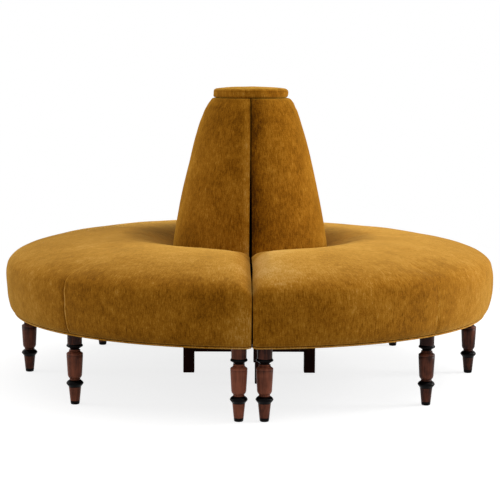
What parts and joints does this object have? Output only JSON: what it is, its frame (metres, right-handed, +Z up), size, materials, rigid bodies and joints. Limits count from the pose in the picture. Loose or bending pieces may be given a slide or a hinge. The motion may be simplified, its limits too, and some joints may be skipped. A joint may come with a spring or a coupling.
{
  "type": "round sofa",
  "caption": "Round sofa in two half-ring modules: crowned upholstered seat round a tall cone-shaped back, lift-off padded cap, turned legs and square inner legs with a low rail.",
  "frame": {"origin": "on the floor, at the centre of the seam between the two halves", "axes": "+Z up; the seam lies in the YZ plane with its front end facing -Y; +X towards the right half"},
  "size_m": [1.746, 1.7432, 1.0347],
  "materials": {
    "velvet": "mustard velvet with a short nap",
    "lining": "black dust cloth",
    "foam": "upholstery foam",
    "plywood": "bare plywood",
    "walnut": "reddish-brown stain, satin, with ebonised rings",
    "dark_stain": "very dark brown stain, satin",
    "jute": "woven webbing",
    "steel": "dark, semi-matt",
    "nylon": "black, matt"
  },
  "bodies": {
    "left_half": {"left_seat_cover": "velvet", "left_seat_foam": "foam", "left_webbing": "jute", "left_seat_carcass": "plywood", "left_front_rail": "plywood", "left_base_board": "plywood", "left_dust_cover": "lining", "left_seam_panel": "plywood", "left_back_formers": "plywood", "left_back_skin": "plywood", "left_back_foam": "foam", "left_back_cover": "velvet", "left_stretcher": "dark_stain", "left_locating_peg": "steel", "left_peg_socket": "nylon", "left_turned_leg_1": "walnut", "left_turned_leg_2": "walnut", "left_turned_leg_3": "walnut", "left_turned_leg_4": "walnut", "left_turned_leg_5": "walnut", "left_leg_plate_1": "steel", "left_leg_plate_2": "steel", "left_leg_plate_3": "steel", "left_leg_plate_4": "steel", "left_leg_plate_5": "steel", "left_inner_leg_front": "dark_stain", "left_inner_leg_side": "dark_stain", "left_inner_leg_rear": "dark_stain"},
    "right_half": {"right_seat_cover": "velvet", "right_seat_foam": "foam", "right_webbing": "jute", "right_seat_carcass": "plywood", "right_front_rail": "plywood", "right_base_board": "plywood", "right_dust_cover": "lining", "right_seam_panel": "plywood", "right_back_formers": "plywood", "right_back_skin": "plywood", "right_back_foam": "foam", "right_back_cover": "velvet", "right_stretcher": "dark_stain", "right_locating_peg": "steel", "right_peg_socket": "nylon", "right_turned_leg_1": "walnut", "right_turned_leg_2": "walnut", "right_turned_leg_3": "walnut", "right_turned_leg_4": "walnut", "right_turned_leg_5": "walnut", "right_leg_plate_1": "steel", "right_leg_plate_2": "steel", "right_leg_plate_3": "steel", "right_leg_plate_4": "steel", "right_leg_plate_5": "steel", "right_inner_leg_front": "dark_stain", "right_inner_leg_side": "dark_stain", "right_inner_leg_rear": "dark_stain"},
    "cap": {"cap_cover": "velvet", "cap_foam": "foam", "cap_board": "plywood"}
  },
  "joints": [
    {"name": "half_slide", "type": "slide", "parent": "left_half", "child": "right_half", "axis": [1, 0, 0], "range_m": [0, 0.4]},
    {"name": "cap_lift", "type": "slide", "parent": "left_half", "child": "cap", "axis": [0, 0, 1], "range_m": [0, 0.15]}
  ]
}
